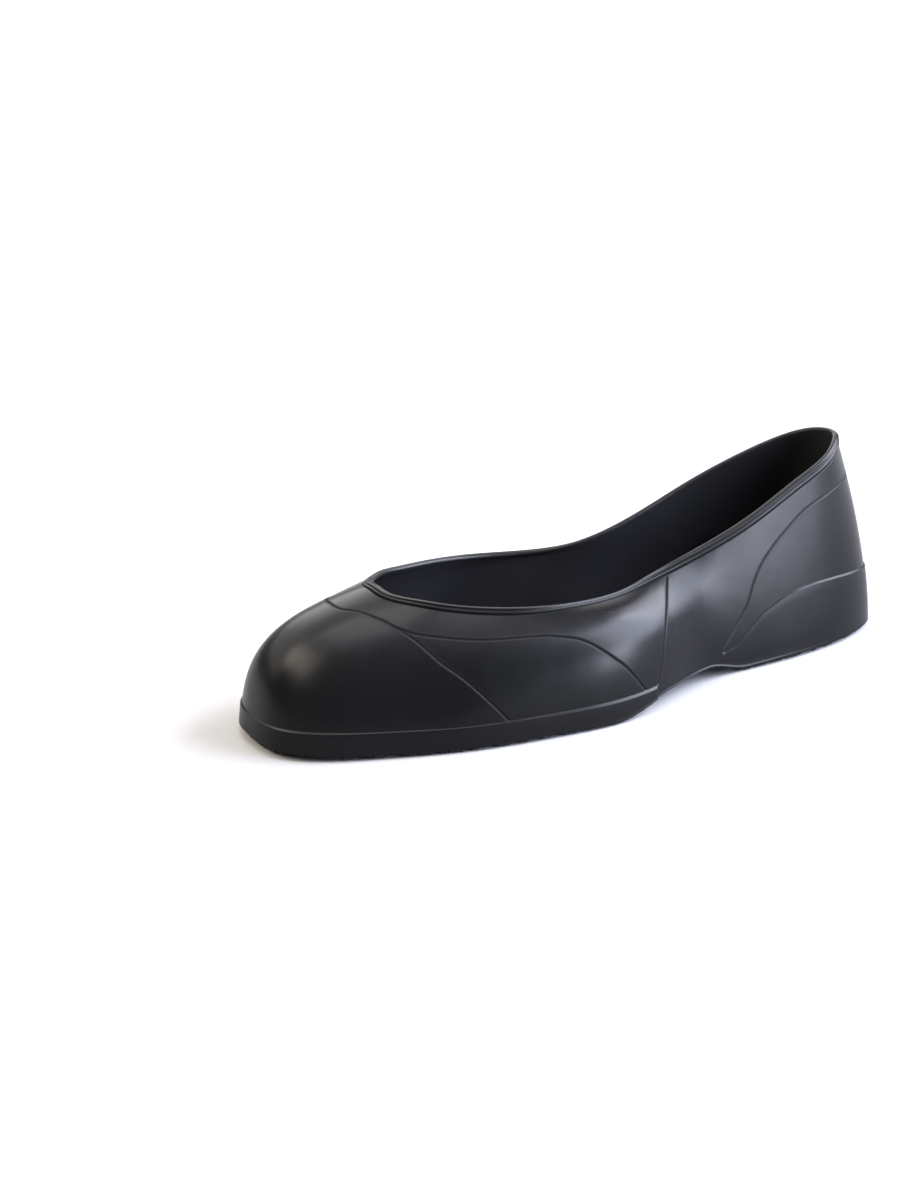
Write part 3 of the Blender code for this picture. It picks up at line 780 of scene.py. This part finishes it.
def rubber(name, colour, pale, roughness, grain):
    """Satin black rubber: faint bloom in patches, fine moulded grain, roughness that varies, and
    shade painted into the moulded lines.
    """
    material = bpy.data.materials.new(name)
    material.use_nodes = True
    nodes, links = material.node_tree.nodes, material.node_tree.links
    shader = nodes["Principled BSDF"]
    spot = nodes.new("ShaderNodeTexCoord")

    def noise(scale, detail):
        """Noise in the piece's own frame."""
        node = nodes.new("ShaderNodeTexNoise")
        node.inputs["Scale"].default_value = scale
        node.inputs["Detail"].default_value = detail
        links.new(spot.outputs["Object"], node.inputs["Vector"])
        return node.outputs["Fac"]

    bloom = nodes.new("ShaderNodeValToRGB")
    for stop, place, tone in zip(bloom.color_ramp.elements, BLOOM_RANGE, (colour, pale)):
        stop.position = place
        stop.color = (*tone, 1.0)
    links.new(noise(*BLOOM_NOISE), bloom.inputs["Fac"])
    # Painted shade: the mesh's mask darkens the colour in the moulded lines and under the collar's
    # beads, and raises the roughness there.
    painted_shade_mask = nodes.new("ShaderNodeAttribute")
    painted_shade_mask.attribute_name = "painted_shade_mask"
    shade = nodes.new("ShaderNodeMix")
    shade.data_type = "RGBA"
    shade.inputs[7].default_value = PAINTED_SHADE_COLOUR
    links.new(painted_shade_mask.outputs["Fac"], shade.inputs[0])
    links.new(bloom.outputs["Color"], shade.inputs[6])
    links.new(shade.outputs[2], shader.inputs["Base Color"])
    gloss = nodes.new("ShaderNodeMapRange")
    for socket, value in zip(MAP_SOCKETS, (*GLOSS_RANGE, *roughness)):
        gloss.inputs[socket].default_value = value
    links.new(noise(*GLOSS_NOISE), gloss.inputs["Value"])
    dull = nodes.new("ShaderNodeMix")
    dull.inputs[3].default_value = CREVICE_ROUGHNESS
    links.new(painted_shade_mask.outputs["Fac"], dull.inputs[0])
    links.new(gloss.outputs["Result"], dull.inputs[2])
    links.new(dull.outputs[0], shader.inputs["Roughness"])
    fine = nodes.new("ShaderNodeBump")
    fine.inputs["Strength"].default_value = grain
    fine.inputs["Distance"].default_value = GRAIN_DEPTH
    links.new(noise(*GRAIN_NOISE), fine.inputs["Height"])
    wave = nodes.new("ShaderNodeBump")
    wave.inputs["Strength"].default_value = WAVE_STRENGTH
    wave.inputs["Distance"].default_value = WAVE_DEPTH
    links.new(noise(*WAVE_NOISE), wave.inputs["Height"])
    links.new(fine.outputs["Normal"], wave.inputs["Normal"])
    links.new(wave.outputs["Normal"], shader.inputs["Normal"])
    shader.inputs["Specular IOR Level"].default_value = GLEAM
    return material


FLOOR_HALF = 5.0        # metres
FLOOR_DROP = 0.1 * MM   # the floor lies this far below the soles
# The floor's painted light: distances from the shoe in metres, and the tones at and beyond them.
# Paler far away makes up for the lamps' falloff; darker near the shoe dims the floor's reflection
# in the shoe's low walls.
FLOOR_PAINTED_LIGHT = (0.3, 1.4, 0.24, 0.50)

# Soft boxes.  Columns: name, azimuth, elevation, distance in metres, angular width and height,
# radiance, colour.
SOFT_BOXES = (
    ("rear_side_box", 143.0, 31.0, 2.4, (44.0, 44.0), 27.0, (0.77, 0.82, 1.0)),
    ("quarter_box", 122.0, 3.0, 2.4, (26.0, 18.0), 34.0, (0.79, 0.84, 1.0)),
    ("heel_box", 178.0, 33.0, 2.4, (28.0, 40.0), 19.0, (0.87, 0.88, 1.0)),
    ("overhead_box", 9.0, 87.0, 2.2, (38.0, 29.0), 8.4, (1.0, 1.0, 1.0)),
    ("front_left_box", -73.0, 44.4, 2.4, (80.0, 56.0), 2.3, (1.0, 0.97, 0.94)),
    ("front_lamp", -2.4, 46.9, 2.4, (54.0, 22.0), 12.0, (1.0, 0.87, 0.74)),
    ("high_side_box", 50.0, 66.0, 2.4, (60.0, 16.0), 2.4, (0.91, 0.94, 1.0)),
    ("back_box", -118.0, 30.0, 2.4, (60.0, 30.0), 3.0, (1.0, 1.0, 1.0)),
)
LAMPS_AIM = Vector((0.0, 0.0, 0.04))    # the point that the soft boxes face
AMBIENT = 0.12


def soft_box(name, azimuth, elevation, distance, spread, radiance, colour):
    """Rectangular soft box; spread is its angular width and height, seen from the shoe."""
    a, e = np.radians(azimuth), np.radians(elevation)
    away = Vector((np.sin(a) * np.cos(e), -np.cos(a) * np.cos(e), np.sin(e)))
    data = bpy.data.lights.new(name, "AREA")
    data.shape = "RECTANGLE"
    data.size, data.size_y = (2.0 * distance * float(np.tan(np.radians(s) / 2.0)) for s in spread)
    data.energy = radiance * np.pi * data.size * data.size_y
    data.color = colour
    lamp = bpy.data.objects.new(name, data)
    bpy.context.scene.collection.objects.link(lamp)
    lamp.location = LAMPS_AIM + away * distance
    lamp.rotation_euler = away.to_track_quat("Z", "Y").to_euler()


def floor_piece():
    """Pale matt floor with painted light: darker near the shoe, to dim its reflection in the shoe's
    low walls, and paler far away, to make up for the lamps' falloff.
    """
    bm = bmesh.new()
    bmesh.ops.create_grid(bm, x_segments=8, y_segments=8, size=FLOOR_HALF)
    mesh = bpy.data.meshes.new("floor")
    bm.to_mesh(mesh)
    bm.free()
    floor = bpy.data.objects.new("floor", mesh)
    floor.location = (0.0, 0.0, -FLOOR_DROP)
    bpy.context.scene.collection.objects.link(floor)
    material = bpy.data.materials.new("pale_floor")
    material.use_nodes = True
    shader = material.node_tree.nodes["Principled BSDF"]
    shader.inputs["Roughness"].default_value = 0.8
    shader.inputs["Specular IOR Level"].default_value = 0.1
    nodes, links = material.node_tree.nodes, material.node_tree.links
    spot = nodes.new("ShaderNodeTexCoord")
    away = nodes.new("ShaderNodeVectorMath")
    away.operation = "LENGTH"
    links.new(spot.outputs["Object"], away.inputs[0])
    tone = nodes.new("ShaderNodeMapRange")
    tone.interpolation_type = "SMOOTHSTEP"
    for socket, value in zip(MAP_SOCKETS, FLOOR_PAINTED_LIGHT):
        tone.inputs[socket].default_value = value
    links.new(away.outputs["Value"], tone.inputs["Value"])
    links.new(tone.outputs["Result"], shader.inputs["Base Color"])
    mesh.materials.append(material)


CAMERA_AZIMUTH, CAMERA_ELEVATION, CAMERA_ROLL = np.radians((61.652, 21.186, -1.838))
CAMERA_DISTANCE = 1.556993      # metres
CAMERA_TARGET = (0.0, 152.5, 35.0)  # millimetres of the shoe's frame
SENSOR = 36.0           # the camera's sensor, millimetres
# The photograph's frame, the focal length and the lens's axis from the frame's middle, in pixels.
FRAME = (900.0, 1200.0)
FOCAL = 3495.821
PRINCIPAL = (564.264 - FRAME[0] / 2.0, 602.178 - FRAME[1] / 2.0)


def camera():
    """The photograph's view."""
    a, e = CAMERA_AZIMUTH, CAMERA_ELEVATION
    back = np.array([np.sin(a) * np.cos(e), -np.cos(a) * np.cos(e), np.sin(e)])
    right = np.array([np.cos(a), np.sin(a), 0.0])
    up = np.cross(back, right)
    turned = right * np.cos(CAMERA_ROLL) + up * np.sin(CAMERA_ROLL)
    above = -right * np.sin(CAMERA_ROLL) + up * np.cos(CAMERA_ROLL)
    data = bpy.data.cameras.new("camera")
    data.sensor_width = SENSOR
    data.lens = SENSOR * FOCAL / FRAME[1]
    data.shift_x = -PRINCIPAL[0] / FRAME[1]
    data.shift_y = PRINCIPAL[1] / FRAME[1]
    data.clip_end = 50.0
    view = bpy.data.objects.new("camera", data)
    bpy.context.scene.collection.objects.link(view)
    place = to_frame(np.array(CAMERA_TARGET)) + back * CAMERA_DISTANCE
    matrix = np.eye(4)
    matrix[:3] = np.column_stack([turned, above, back, place])
    view.matrix_world = Matrix(matrix.tolist())
    bpy.context.scene.camera = view


def main():
    """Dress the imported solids."""
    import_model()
    upper_rubber, lighter_inside_rubber, sole_rubber, tread_rubber = [rubber(*row) for row in RUBBERS]
    upper_piece(upper_rubber, lighter_inside_rubber)
    outsole_piece(sole_rubber)
    stations = outsole_stations()
    front = stations[stations <= FIELD_ENDS[0]]
    rear = stations[stations >= FIELD_ENDS[1]]
    forefoot = np.concatenate([lateral_places(front), medial_places(front[:0:-1])])
    heel = np.concatenate([medial_places(rear[::-1]), lateral_places(rear[:-1])])
    tread_piece("forefoot_lugs", forefoot, tread_rubber, "tread_forefoot")
    tread_piece("heel_lugs", heel, tread_rubber, "tread_heel")

    floor_piece()
    for row in SOFT_BOXES:
        soft_box(*row)
    world = bpy.data.worlds.new("studio")
    bpy.context.scene.world = world
    world.use_nodes = True
    background = world.node_tree.nodes["Background"]
    background.inputs["Color"].default_value = (1.0, 1.0, 1.0, 1.0)
    background.inputs["Strength"].default_value = AMBIENT
    bpy.context.scene.view_settings.view_transform = "Standard"
    camera()


main()
